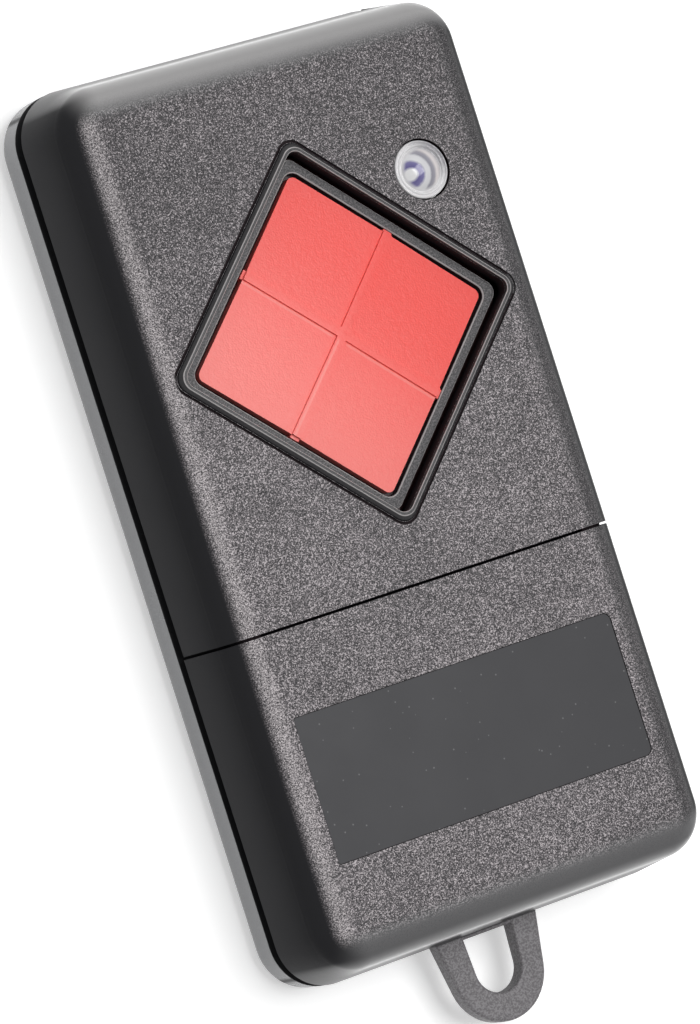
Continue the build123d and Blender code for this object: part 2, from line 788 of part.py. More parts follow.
for side_name, spot in switch_spots.items():
    place = switch_place(spot)
    with BuildPart() as switch_base:
        with BuildSketch(place):
            RectangleRounded(switch_size, switch_size, switch_corner)
        extrude(amount=switch_height - switch_plate)
        with BuildSketch(place.offset(switch_height - switch_plate)):
            Circle(plunger_radius + plunger_shoulder + 2 * plunger_clearance)
        extrude(amount=-(switch_height - switch_plate - switch_floor), mode=Mode.SUBTRACT)
    finish(switch_base, f"switch_base_{side_name}")

    with BuildPart() as switch_cover:
        with BuildSketch(place.offset(switch_height - switch_plate)):
            RectangleRounded(switch_size, switch_size, switch_corner)
            Circle(plunger_radius + plunger_clearance, mode=Mode.SUBTRACT)
        extrude(amount=switch_plate)
        with BuildSketch(place.offset(switch_height)):
            with GridLocations(switch_size - 4 * rivet_radius, switch_size - 4 * rivet_radius, 2, 2):
                Circle(rivet_radius)
        extrude(amount=rivet_rise)
        # legs bent down both sides into the board
        for side in (-1, 1):
            with BuildSketch(place.offset(switch_height)):
                with Locations((side * (switch_size / 2 + switch_plate / 2), 0)):
                    Rectangle(switch_plate, switch_leg_width)
            extrude(amount=-switch_height)
    finish(switch_cover, f"switch_cover_{side_name}")

    with BuildPart() as switch_plunger:
        with BuildSketch(level(plunger_bottom_z, spot[0] * switch_reach, key_y + spot[1] * switch_reach)):
            Circle(plunger_radius)
        extrude(amount=plunger_length)
        fillet(switch_plunger.faces().sort_by(Axis.Z)[-1].edges(), plunger_edge)
        # shoulder that keeps it under the cover plate
        with BuildSketch(place.offset(switch_height - switch_plate - plunger_headroom)):
            Circle(plunger_radius + plunger_shoulder)
        extrude(amount=-plunger_shoulder_height)
    finish(switch_plunger, f"switch_plunger_{side_name}")


# Indicator lens: disc, dome and light pipe in clear plastic
with BuildPart() as indicator_lens:
    with BuildSketch(level(lens_top_z, lens_x, lens_y)):
        Circle(lens_radius)
    extrude(amount=-lens_flange)
    fillet(indicator_lens.faces().sort_by(Axis.Z)[-1].edges(), lens_edge)
    with BuildSketch(level(lens_top_z - lens_flange, lens_x, lens_y)):
        Circle(lens_stem_radius)
    extrude(amount=-lens_stem_length)
    # gate mark on the rim of the disc
    with BuildSketch(level(lens_top_z - lens_edge, lens_x, lens_y)):
        with PolarLocations(lens_radius - lens_nub, 1, start_angle=gate_angle):
            Rectangle(2 * (lens_nub + lens_gap / 2), 2 * lens_nub)
    extrude(amount=-(lens_flange - lens_edge))
    # dome
    with BuildSketch(
        Plane(origin=(lens_x, mid_y + lens_y, lens_top_z - lens_edge), x_dir=(1, 0, 0), z_dir=(0, -1, 0))
    ):
        with BuildLine():
            ThreePointArc(*cap_points(lens_dome_radius, lens_dome_height, lens_edge))
            Polyline(
                (0, lens_edge + lens_dome_height),
                (0, 0),
                (lens_dome_radius, 0),
                (lens_dome_radius, lens_edge),
            )
        make_face()
    revolve(axis=Axis((lens_x, mid_y + lens_y, 0), (0, 0, 1)))
finish(indicator_lens, "indicator_lens")


# Lamp under the lens, standing on the board
with BuildPart() as lamp_body:
    with BuildSketch(level(board_top_z, lens_x, lens_y)):
        Circle(lamp_flange_radius)
    extrude(amount=lamp_flange_thickness)
    with BuildSketch(level(board_top_z, lens_x, lens_y)):
        Circle(lamp_radius)
    extrude(amount=lamp_height)
    fillet(lamp_body.faces().sort_by(Axis.Z)[-1].edges(), lamp_crown)
finish(lamp_body, "lamp_body")

with BuildPart() as lamp_leads:
    for side in (-1, 1):
        with BuildSketch(level(board_top_z, lens_x + side * lamp_lead_spacing / 2, lens_y)):
            Rectangle(lamp_lead, lamp_lead)
        extrude(amount=-(board_thickness + lamp_lead_tail))
finish(lamp_leads, "lamp_leads")


# Antenna wire
with BuildPart() as antenna_wire_part:
    antenna_top_z = board_top_z + antenna_height
    with BuildLine(Plane(origin=(0, mid_y + antenna_y, 0), x_dir=(1, 0, 0), z_dir=(0, -1, 0))):
        FilletPolyline(
            (-antenna_half_width, board_bottom_z - contact_pin_tail),
            (-antenna_half_width, antenna_top_z),
            (antenna_half_width, antenna_top_z),
            (antenna_half_width, board_bottom_z - contact_pin_tail),
            radius=antenna_bend,
        )
    with BuildSketch(level(board_bottom_z - contact_pin_tail, -antenna_half_width, antenna_y)):
        Circle(antenna_wire / 2)
    sweep()
finish(antenna_wire_part, "antenna_wire")


# Parts soldered on the board
with BuildPart() as resonator_can:
    with BuildSketch(level(board_top_z, resonator_x, resonator_y)):
        Circle(resonator_radius + resonator_brim)
    extrude(amount=resonator_brim)
    with BuildSketch(level(board_top_z, resonator_x, resonator_y)):
        Circle(resonator_radius)
    extrude(amount=resonator_height)
    fillet(resonator_can.faces().sort_by(Axis.Z)[-1].edges(), resonator_brim)
finish(resonator_can, "resonator_can")

with BuildPart() as crystal_can:
    with BuildSketch(level(board_top_z, *crystal_spot)):
        SlotOverall(crystal_length, crystal_width, rotation=90)
    extrude(amount=crystal_height)
    fillet(crystal_can.faces().sort_by(Axis.Z)[-1].edges(), crystal_edge)
finish(crystal_can, "crystal_can")

with BuildPart() as controller_body:
    with BuildSketch(level(board_top_z + controller_standoff, *controller_spot)):
        Rectangle(controller_length, controller_width)
    extrude(amount=controller_height)
    chamfer(controller_body.faces().sort_by(Axis.Z)[-1].edges(), controller_edge)
    with BuildSketch(level(board_top_z + controller_standoff + controller_height, *controller_spot)):
        dot_inset = 2 * controller_dot
        with Locations((dot_inset - controller_length / 2, dot_inset - controller_width / 2)):
            Circle(controller_dot / 2)
    extrude(amount=-controller_standoff, mode=Mode.SUBTRACT)
finish(controller_body, "controller_body")

with BuildPart() as controller_legs:
    leg_top_z = controller_standoff + controller_height / 2
    for side in (-1, 1):
        for number in range(controller_pins):
            leg_x = controller_spot[0] + (number - (controller_pins - 1) / 2) * controller_pitch
            leg_plane = Plane(
                origin=(leg_x - leg_width / 2, mid_y + controller_spot[1], board_top_z),
                x_dir=(0, side, 0),
                z_dir=(side, 0, 0),
            )
            with BuildSketch(leg_plane):
                with BuildLine():
                    FilletPolyline(
                        (controller_width / 2 + leg_thickness / 4, leg_top_z),
                        (controller_width / 2 + leg_reach / 2, leg_top_z),
                        (controller_width / 2 + leg_reach / 2, leg_thickness / 2),
                        (controller_width / 2 + leg_reach, leg_thickness / 2),
                        radius=leg_bend,
                    )
                trace(line_width=leg_thickness)
            extrude(amount=side * leg_width)
finish(controller_legs, "controller_legs")

with BuildPart() as transistors:
    for x, y in transistor_spots:
        with BuildSketch(level(board_top_z + leg_thickness / 2, x, y)):
            Rectangle(transistor_length, transistor_width)
        extrude(amount=transistor_height)
        with BuildSketch(level(board_top_z, x, y)):
            for leg_x, edge in ((-transistor_pitch, -1), (transistor_pitch, -1), (0, 1)):
                with Locations((leg_x, edge * transistor_width / 2)):
                    Rectangle(leg_width, transistor_leg_length)
        extrude(amount=leg_thickness)
finish(transistors, "transistors")

for chip_name, spots, chip_height in (
    ("smd_resistors", resistor_spots, resistor_height),
    ("smd_capacitors", capacitor_spots, capacitor_height),
):
    with BuildPart() as chips:
        for x, y in spots:
            with BuildSketch(level(board_top_z, x, y)):
                Rectangle(chip_length, chip_width)
            extrude(amount=chip_height)
    finish(chips, chip_name)

with BuildPart() as contact_domes:
    for x, y in switch_spots.values():
        dome_plane = Plane(
            origin=(x * switch_reach, mid_y + key_y + y * switch_reach, board_top_z + switch_floor),
            x_dir=(1, 0, 0),
            z_dir=(0, -1, 0),
        )
        with BuildSketch(dome_plane):
            with BuildLine():
                ThreePointArc(*cap_points(dome_radius, dome_rise, 0))
                Line((0, dome_rise), (0, dome_rise + dome_sheet))
                ThreePointArc(*cap_points(dome_radius, dome_rise, dome_sheet))
                Line((dome_radius, dome_sheet), (dome_radius, 0))
            make_face()
        revolve(axis=Axis(dome_plane.origin, (0, 0, 1)))
finish(contact_domes, "contact_domes")


# Battery, lying across the case
def cell_plane(x):
    """Plane square to the battery's axis."""
    return Plane(origin=(x, mid_y + cell_y, cell_z), x_dir=(0, 1, 0), z_dir=(1, 0, 0))


can_start_x = -cell_length / 2
can_length = cell_length - cell_cap_height

with BuildPart() as battery_can:
    with BuildSketch(cell_plane(can_start_x)):
        Circle(cell_radius - cell_sleeve)
    extrude(amount=can_length)
    fillet(battery_can.edges().filter_by(GeomType.CIRCLE), cell_crimp)
finish(battery_can, "battery_can")

with BuildPart() as battery_sleeve:
    with BuildSketch(cell_plane(can_start_x + cell_crimp)):
        Circle(cell_radius)
        Circle(cell_radius - cell_sleeve, mode=Mode.SUBTRACT)
    extrude(amount=can_length - 2 * cell_crimp)
finish(battery_sleeve, "battery_sleeve")

with BuildPart() as battery_cap:
    with BuildSketch(cell_plane(can_start_x + can_length)):
        Circle(cell_cap_radius)
    extrude(amount=cell_cap_height)
    fillet(battery_cap.faces().sort_by(Axis.X)[-1].edges(), cell_cap_height / 3)
finish(battery_cap, "battery_cap")


# Battery contacts, each one bent strip with a tail to the board
for contact_name, side in (("negative_contact", -1), ("positive_contact", 1)):
    with BuildPart() as contact:
        strip_plane = Plane(
            origin=(0, mid_y + cell_y + side * contact_width / 2, 0),
            x_dir=(side, 0, 0),
            z_dir=(0, -side, 0),
        )
        with BuildSketch(strip_plane):
            with BuildLine():
                FilletPolyline(
                    (contact_backing_x, floor_thickness + contact_thickness),
                    (contact_backing_x, contact_top_z),
                    (contact_backing_x - contact_fold, contact_top_z),
                    (contact_touch_x, cell_z),
                    (contact_touch_x + contact_fold, cell_z - contact_heel * contact_fold),
                    radius=contact_bend_share * contact_fold,
                )
            trace(line_width=contact_thickness)
        extrude(amount=contact_width)
        tail_start_y = cell_y + contact_width / 2 - contact_thickness
        tail_end_y = contact_pin_y + contact_pin / 2
        with BuildSketch(level(contact_strip_z, side * contact_backing_x, tail_start_y)):
            Rectangle(contact_thickness, tail_end_y - tail_start_y, align=(Align.CENTER, Align.MIN))
        extrude(amount=contact_tail_height)
        with BuildSketch(level(contact_strip_z, side * contact_backing_x, contact_pin_y)):
            Rectangle(contact_thickness, contact_pin)
        extrude(amount=board_top_z + contact_pin_tail - contact_strip_z)
    finish(contact, contact_name)


# Screws
def make_screw(head_radius, length):
    """Pan head screw with a cross slot, its head seated on Z = 0."""
    with BuildPart() as piece:
        with BuildSketch(Plane.XY):
            Circle(head_radius)
        extrude(amount=screw_head_height)
        fillet(piece.faces().sort_by(Axis.Z)[-1].edges(), screw_head_edge)
        slot_length = driver_slot_share * head_radius
        with BuildSketch(Plane.XY.offset(screw_head_height)):
            Rectangle(driver_slot_width, slot_length)
            Rectangle(slot_length, driver_slot_width)
        extrude(amount=-driver_slot_depth, mode=Mode.SUBTRACT)
        with BuildSketch(Plane.XY):
            Circle(screw_shank_radius)
        extrude(amount=-length)
        chamfer(piece.faces().sort_by(Axis.Z)[0].edges(), screw_tip_chamfer)
    return piece.part


with BuildPart() as case_screw:
    with Locations((0, mid_y + case_screw_y, case_tab_z + case_tab_thickness)):
        add(make_screw(screw_head_radius, case_screw_length))
finish(case_screw, "case_screw")

with BuildPart() as board_screws:
    with Locations([(x, mid_y + y, board_top_z) for x, y in screw_posts]):
        add(make_screw(board_screw_head_radius, board_screw_length))
finish(board_screws, "board_screws")
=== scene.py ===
import math

import bmesh
import bpy
from mathutils import Matrix, Vector


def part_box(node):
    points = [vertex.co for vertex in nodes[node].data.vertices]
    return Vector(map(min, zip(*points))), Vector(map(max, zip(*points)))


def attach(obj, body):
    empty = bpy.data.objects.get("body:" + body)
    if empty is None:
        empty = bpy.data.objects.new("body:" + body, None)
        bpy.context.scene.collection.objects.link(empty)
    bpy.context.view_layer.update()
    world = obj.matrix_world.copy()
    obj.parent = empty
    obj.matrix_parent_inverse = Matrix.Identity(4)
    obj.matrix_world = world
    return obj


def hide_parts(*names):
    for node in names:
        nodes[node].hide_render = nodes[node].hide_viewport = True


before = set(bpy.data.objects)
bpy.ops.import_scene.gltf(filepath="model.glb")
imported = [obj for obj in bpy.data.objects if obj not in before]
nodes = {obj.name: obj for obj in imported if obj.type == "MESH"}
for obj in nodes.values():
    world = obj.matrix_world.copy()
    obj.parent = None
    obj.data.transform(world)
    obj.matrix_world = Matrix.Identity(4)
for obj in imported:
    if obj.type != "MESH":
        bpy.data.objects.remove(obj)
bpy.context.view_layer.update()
print("frame loaded,", len(nodes), "pieces")

mm = 0.001  # the scene is in metres
keySides = ("top", "right", "bottom", "left")


def middleOf(name):  # middle of a piece's box, in mm from the frame's origin
    low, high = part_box(name)
    return (low + high) / 2 / mm


caseMiddleY = (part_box("battery_cover")[0].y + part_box("rear_cover")[1].y) / 2 / mm  # without the loop
keyMiddleY = middleOf("key_frame").y
lensX, lensY = middleOf("lamp_body").xy  # the lens stands over the lamp


def startFinish(name, **sockets):  # an underscore stands for a blank in the socket's name
    finish = bpy.data.materials.new(name)
    finish.use_nodes = True
    tree = finish.node_tree
    tree.nodes.clear()
    out = tree.nodes.new("ShaderNodeOutputMaterial")
    shader = tree.nodes.new("ShaderNodeBsdfPrincipled")
    tree.links.new(shader.outputs["BSDF"], out.inputs["Surface"])
    for socket, value in sockets.items():
        shader.inputs[socket.replace("_", " ")].default_value = value
    return finish, tree, shader


def feed(shader, **sockets):  # leads varying values into the shader
    for socket, value in sockets.items():
        shader.id_data.links.new(value, shader.inputs[socket.replace("_", " ")])


def add(tree, kind, inputs=None, **settings):
    made = tree.nodes.new("ShaderNode" + kind)
    for name, value in settings.items():
        setattr(made, name, value)
    for name, value in (inputs or {}).items():
        if isinstance(value, bpy.types.NodeSocket):
            tree.links.new(value, made.inputs[name])
        else:
            made.inputs[name].default_value = value
    return made


def calc(tree, operation, *values):
    return add(tree, "Math", dict(enumerate(values)), operation=operation).outputs[0]


def times(tree, first, *others):
    for other in others:
        first = calc(tree, "MULTIPLY", first, other)
    return first


def flip(tree, share):
    return calc(tree, "SUBTRACT", 1.0, share)


def off(tree, value, middle):  # distance from a middle value
    return calc(tree, "ABSOLUTE", calc(tree, "SUBTRACT", value, middle))


def length(tree, x, y):
    return calc(tree, "SQRT", calc(tree, "ADD", times(tree, x, x), times(tree, y, y)))


def between(tree, share, low, high):  # low at 0, high at 1
    return calc(tree, "MULTIPLY_ADD", share, high - low, low)


def swing(tree, value, width, middle=0.0):  # as wide as width, evenly about the middle
    return calc(tree, "MULTIPLY_ADD", value, width, middle - width / 2)


def cross(tree, share, first, second):  # first at 0, second at 1, both may vary
    return calc(tree, "ADD", times(tree, first, flip(tree, share)), times(tree, share, second))


def fade(tree, value, start, end):  # 0 at start, 1 at end, soft between
    inputs = {"Value": value, "From Min": start, "From Max": end}
    return add(tree, "MapRange", inputs, interpolation_type="SMOOTHSTEP").outputs["Result"]


def ramp(tree, value, start, end, low, high):  # straight from low to high
    inputs = {"Value": value, "From Min": start, "From Max": end, "To Min": low, "To Max": high}
    return add(tree, "MapRange", inputs).outputs["Result"]


def stripe(tree, value, edges, middle=0.0):  # 1 inside, 0 past the first and the third edge
    rise = fade(tree, value, middle + edges[0], middle + edges[1])
    return times(tree, rise, fade(tree, value, middle + edges[2], middle + edges[3]))


def spot(tree):  # the point on the piece in mm, and its three parts
    place = add(tree, "TexCoord").outputs["Object"]
    point = add(tree, "VectorMath", {0: place, "Scale": 1 / mm}, operation="SCALE").outputs[0]
    parts = add(tree, "SeparateXYZ", {0: point})
    return point, parts.outputs[0], parts.outputs[1], parts.outputs[2]


def noise(tree, point, perMm, detail=3.0, roughness=0.6):
    inputs = {"Vector": point, "Scale": perMm, "Detail": detail, "Roughness": roughness}
    return add(tree, "TexNoise", inputs).outputs["Fac"]


def cells(tree, point, perMm):
    return add(tree, "TexVoronoi", {"Vector": point, "Scale": perMm}).outputs["Distance"]


def blend(tree, share, first, second):  # a colour between two
    made = add(tree, "Mix", {0: share, 6: first, 7: second}, data_type="RGBA")
    return made.outputs[2]


def dimmed(tone, share):
    return tuple(part * share for part in tone[:3]) + (1,)


def rough(tree, height, depth, under=None):  # depth in mm, under is the relief below
    inputs = {"Height": height, "Distance": depth * mm, "Strength": 1.0}
    if under is not None:
        inputs["Normal"] = under
    return add(tree, "Bump", inputs).outputs[0]


def put(finish, *names):
    for name in names:
        piece = nodes[name]
        piece.data.materials.clear()
        piece.data.materials.append(finish)


# Front shell and battery cover: grained front, fine matt sides. The front's grey tone and its bright specks
# are painted sheen and glints on black plastic, laid over a real grain
caseLook = {
    # grain tones; the grey of front and the brightness of glint are painted sheen and glints
    "pit": (0.026, 0.025, 0.027, 1),
    "front": (0.107, 0.096, 0.102, 1),
    "glint": (0.56, 0.51, 0.53, 1),
    "side": (0.010, 0.010, 0.012, 1),
    "shoulder": (0.023, 0.023, 0.025, 1),  # where the side turns into the rounded edge, lighter there: painted sheen
    # painted sheen on the end slopes, the lamp end's much the brighter
    "loopEndSheen": (0.105, 0.104, 0.107, 1),
    "lampEnd": (0.32, 0.315, 0.315, 1),
    "edgeHighlight": (0.66, 0.61, 0.62, 1),  # painted highlight along the front's rounded left edge
    # painted shade inside the opening round the key, in the groove round the rim and in the split gap
    "paintedShade": (0.005, 0.005, 0.006, 1),
    "wallTop": (0.026, 0.020, 0.022, 1),  # upper part of the walls round the key, where the painted shade lightens
    "rimFlank": (0.038, 0.037, 0.039, 1),
    "rimCrest": (0.058, 0.056, 0.058, 1),
    # painted highlight along the crest's edge
    "rimHighlight": (0.42, 0.40, 0.40, 1),
    # grain
    "grainPerMm": 8.6,
    "pitsPerMm": 5.16,
    "pitsShare": 0.5,
    "grainDepth": 0.10,
    "finePerMm": 12.0,
    "fineDepth": 0.004,
    "broadPerMm": 0.09,
    "broadTone": 0.10,
    "raisedTone": (0.37, 0.50),  # noise values where the tone starts and where it is full
    "glintTone": (0.52, 0.68),
    "edgeHighlightBreakup": (1.5, -0.48),  # how strongly the grain breaks up the painted highlight on the left edge
    "darkerY": (12.0, 42.0),  # mm from the origin, the grain gets darker toward the lamp end: painted shade, the sheen fading there
    "darkerBy": 0.045,
    # gloss
    "sideRough": 0.34,
    "frontRough": 0.43,
    "roughSwing": 0.16,
    "sideShine": (0.09, 0.022),  # from the joint up to the rounded edge
    "endShine": 0.45,
    "endSheen": 0.9,
    "sheenRough": 0.35,
    "frontShine": 0.80,
    "pitShine": 0.42,
    "deepDull": 0.97,
    "rimDull": 0.55,
    # mm where a zone starts and where it is full, X and Y from the case's middle unless noted
    "innerX": (18.6, 18.4),
    "innerY": (39.4, 39.2),
    "innerZ": (15.37, 15.31),
    "splitY": -5.9,  # middle of the gap between shell and battery cover, from the origin
    "splitHalf": (0.16, 0.132),
    "wallTopZ": (13.9, 15.2),
    "rimZ": (15.41, 15.45),
    "flankZ": (15.46, 15.62),
    "crestZ": (15.80, 15.84),
    "crestHighlightZ": (15.897, 15.888),
    "edgeZ": (14.76, 15.38),  # where the grain runs out on the rounded edge
    "frontY": (40.7, 38.7),
    "frontX": (19.3, 17.9),
    "rightKeep": 0.32,  # share of the grain on the right edge, which comes out darker: painted shade
    "slopeX": (-20.8, -17.0),
    "slopeY": (38.8, 40.4),
    "slopeZ": (9.0, 14.0),
    "lampEndY": (44.2, 46.2),  # from the origin
    "endY": (41.4, 42.4),
    "shineZ": (5.0, 13.0),
    "shoulderZ": (12.3, 13.4),
    # where the painted highlight on the left edge lies
    "edgeHighlightX": (-20.5, -19.5, -17.8, -19.1),
    "frontZ": 15.4,
    "sinks": ((-6.2, -5.6), (-0.6, -5.2)),  # faint sink marks under the rim
    "sinkReach": (0.2, 1.3),
    "sinkDepth": 0.15,
}


def makeCaseFinish(look):
    finish, tree, shader = startFinish("caseBlack", Sheen_Roughness=look["sheenRough"])
    point, x, y, z = spot(tree)
    fromSide = calc(tree, "ABSOLUTE", x)
    fromMiddle = off(tree, y, caseMiddleY)

    # zones
    # painted shade: dark inside the opening round the key and in the gap between shell and battery cover
    paintedShade = times(tree, fade(tree, fromSide, *look["innerX"]), fade(tree, fromMiddle, *look["innerY"]),
                 fade(tree, z, *look["innerZ"]))
    inSplit = fade(tree, off(tree, y, look["splitY"]), *look["splitHalf"])
    paintedShade = calc(tree, "MAXIMUM", paintedShade, inSplit)
    onRim = fade(tree, z, *look["rimZ"])
    onCrest = fade(tree, z, *look["crestZ"])
    onCrestHighlight = times(tree, onCrest, fade(tree, z, *look["crestHighlightZ"]))
    faceUp = fade(tree, z, *look["edgeZ"])
    rightShare = between(tree, fade(tree, x, *look["frontX"]), look["rightKeep"], 1.0)
    onFront = times(tree, faceUp, flip(tree, onRim), fade(tree, fromMiddle, *look["frontY"]), rightShare)
    onSlope = times(tree, fade(tree, fromMiddle, *look["slopeY"]), fade(tree, z, *look["slopeZ"]),
                    fade(tree, x, *look["slopeX"]))

    # grain
    pits = cells(tree, point, look["pitsPerMm"])
    specks = noise(tree, point, look["grainPerMm"], detail=1.0)
    broad = noise(tree, point, look["broadPerMm"], roughness=0.55)
    tone = calc(tree, "ADD", specks, swing(tree, broad, look["broadTone"]))
    darker = times(tree, fade(tree, y, *look["darkerY"]), look["darkerBy"])
    tone = calc(tree, "SUBTRACT", tone, darker)
    # real grain, with its grey and bright glints as painted sheen on the black plastic
    raised = fade(tree, tone, *look["raisedTone"])
    front = blend(tree, raised, look["pit"], look["front"])
    front = blend(tree, fade(tree, tone, *look["glintTone"]), front, look["glint"])
    # painted highlight along the rounded left edge, broken up by the grain
    broken = calc(tree, "MULTIPLY_ADD", specks, *look["edgeHighlightBreakup"])
    highlightShare = times(tree, stripe(tree, x, look["edgeHighlightX"]), broken)
    front = blend(tree, highlightShare, front, look["edgeHighlight"])

    # colour, from the sides up to the rim
    # painted sheen on the end slopes
    end = blend(tree, fade(tree, y, *look["lampEndY"]), look["loopEndSheen"], look["lampEnd"])
    side = blend(tree, fade(tree, z, *look["shoulderZ"]), look["side"], look["shoulder"])
    shade = blend(tree, onSlope, side, end)
    shade = blend(tree, onFront, shade, front)
    # painted shade on the walls round the key, lighter toward their top, and at the foot of the rim
    wall = blend(tree, fade(tree, z, *look["wallTopZ"]), look["paintedShade"], look["wallTop"])
    shade = blend(tree, paintedShade, shade, wall)
    flank = blend(tree, fade(tree, z, *look["flankZ"]), look["paintedShade"], look["rimFlank"])
    shade = blend(tree, onRim, shade, flank)
    shade = blend(tree, onCrest, shade, look["rimCrest"])
    shade = blend(tree, onCrestHighlight, shade, look["rimHighlight"])

    # gloss
    sideShine = ramp(tree, z, *look["shineZ"], *look["sideShine"])
    shine = cross(tree, fade(tree, fromMiddle, *look["endY"]), sideShine, look["endShine"])
    shine = cross(tree, faceUp, shine, between(tree, raised, look["pitShine"], look["frontShine"]))
    underFlank = times(tree, onRim, fade(tree, z, *reversed(look["flankZ"])))
    low = calc(tree, "MAXIMUM", paintedShade, underFlank)
    dull = calc(tree, "MAXIMUM", times(tree, low, look["deepDull"]), times(tree, onRim, look["rimDull"]))
    base = between(tree, onFront, look["sideRough"], look["frontRough"])
    roughness = calc(tree, "ADD", base, swing(tree, broad, look["roughSwing"]))

    # relief
    fine = noise(tree, point, look["finePerMm"], detail=2.0, roughness=0.5)
    relief = rough(tree, fine, look["fineDepth"])
    dips = []
    for sinkX, sinkY in look["sinks"]:
        middle = (sinkX, sinkY + caseMiddleY, look["frontZ"])
        away = add(tree, "VectorMath", {0: point, 1: middle}, operation="DISTANCE").outputs["Value"]
        dips.append(fade(tree, away, *look["sinkReach"]))
    relief = rough(tree, times(tree, *dips), look["sinkDepth"], relief)
    grain = calc(tree, "ADD", times(tree, pits, look["pitsShare"]), specks)
    relief = rough(tree, times(tree, grain, onFront), look["grainDepth"], relief)

    feed(shader, Base_Color=shade, Roughness=roughness, Normal=relief,
         Specular_IOR_Level=times(tree, shine, flip(tree, dull)),
         Sheen_Weight=times(tree, onSlope, look["endSheen"]))
    return finish


put(makeCaseFinish(caseLook), "front_shell", "battery_cover")
print("case finish done")


# Rear cover and key-ring loop
backLook = {
    "inside": (0.020, 0.020, 0.022, 1),
    "loop": (0.235, 0.225, 0.235, 1),
    "loopPit": (0.125, 0.118, 0.124, 1),
    "loopTone": (0.40, 0.60),
    # painted reflection: the rear cover's outer faces lighter grey
    "band": (0.172, 0.176, 0.185, 1),
    "bandTone": (0.35, 0.65),
    "bandDim": 0.9,
    "roughness": 0.5,
    "bandRough": 0.24,
    "roughSwing": 0.16,
    "shine": 0.4,
    "bandShine": 1.0,
    "grainPerMm": 5.0,
    "grainDepth": 0.02,
    "broadPerMm": 0.12,
    "sideX": (20.6, 21.0),  # mm from the middle, outer faces
    "endY": (42.4, 42.8),
    "backZ": (1.0, 0.6),
    "jointZ": (4.58, 4.50),
    "loopY": (43.9, 44.1),
}


def makeBackFinish(look):
    finish, tree, shader = startFinish("backBlack")
    point, x, y, z = spot(tree)
    fine = noise(tree, point, look["grainPerMm"], roughness=0.65)
    broad = noise(tree, point, look["broadPerMm"])
    fromMiddle = off(tree, y, caseMiddleY)
    onSide = fade(tree, calc(tree, "ABSOLUTE", x), *look["sideX"])
    outside = calc(tree, "MAXIMUM", onSide, fade(tree, fromMiddle, *look["endY"]))
    outside = calc(tree, "MAXIMUM", outside, fade(tree, z, *look["backZ"]))
    outside = times(tree, outside, fade(tree, z, *look["jointZ"]))
    onLoop = fade(tree, fromMiddle, *look["loopY"])
    # painted reflection on the outer faces
    onBand = times(tree, outside, flip(tree, onLoop))
    loop = blend(tree, fade(tree, fine, *look["loopTone"]), look["loopPit"], look["loop"])
    darker = dimmed(look["band"], look["bandDim"])
    band = blend(tree, fade(tree, fine, *look["bandTone"]), look["band"], darker)
    shade = blend(tree, outside, look["inside"], band)
    base = between(tree, onBand, look["roughness"], look["bandRough"])
    feed(shader, Base_Color=blend(tree, onLoop, shade, loop),
         Roughness=calc(tree, "ADD", base, swing(tree, broad, look["roughSwing"])),
         Specular_IOR_Level=between(tree, onBand, look["shine"], look["bandShine"]),
         Normal=rough(tree, fine, look["grainDepth"]))
    return finish


put(makeBackFinish(backLook), "rear_cover")
print("rear cover finish done")


# Bare label plate
labelLook = {
    "tone": (0.037, 0.037, 0.041, 1),
    "dust": (0.13, 0.13, 0.135, 1),
    "dustPerMm": 0.9,
    "dustSize": (0.10, 0.05),
    "roughness": 0.495,
    "roughSwing": 0.15,
    "broadPerMm": 0.15,
    "shine": 0.4,
    "grainPerMm": 7.0,
    "grainDepth": 0.006,
}


def makeLabelFinish(look):
    finish, tree, shader = startFinish("labelDark", Specular_IOR_Level=look["shine"])
    point = spot(tree)[0]
    dust = fade(tree, cells(tree, point, look["dustPerMm"]), *look["dustSize"])
    broad = noise(tree, point, look["broadPerMm"])
    grain = noise(tree, point, look["grainPerMm"])
    feed(shader, Base_Color=blend(tree, dust, look["tone"], look["dust"]),
         Roughness=swing(tree, broad, look["roughSwing"], look["roughness"]),
         Normal=rough(tree, grain, look["grainDepth"]))
    return finish


put(makeLabelFinish(labelLook), "label_plate")
print("label finish done")


# Red key with its flange
keyLook = {
    "red": (0.88, 0.074, 0.060, 1),
    "paleSheen": (0.92, 0.215, 0.190, 1),
    # painted shade on the flange down in the slot
    "paintedShade": (0.030, 0.005, 0.007, 1),
    "flangeShadeZ": (13.2, 12.9),
    "line": (0.90, 0.33, 0.29, 1),
    "lineShare": 0.45,
    "roughness": 0.40,
    "roughSwing": 0.2,
    "shine": 0.5,
    "mottlePerMm": 1.6,
    "specksPerMm": 5.2,
    "specksTone": (0.35, 0.7),
    "specksShare": 0.16,
    "depth": 0.022,
    "lean": (-0.8, -0.6),  # paler toward the left and the loop end: painted sheen
    "sheenReach": (-5.0, 16.0),
    "mottleReach": 6.0,
    "paleSheenShare": 0.78,
    "slant": 0.7071,  # the pads lie at 45 degrees
    "armHalf": 0.475,  # half the width of the cross between the pads
    "edgeOne": (-0.42, -0.26, -0.04, -0.16),  # painted highlights along the edges of the cross, from the arm's side
    "edgeTwo": (0.10, 0.22, 0.46, 0.32),
    "edgeEnds": (0.1, 0.5),
}


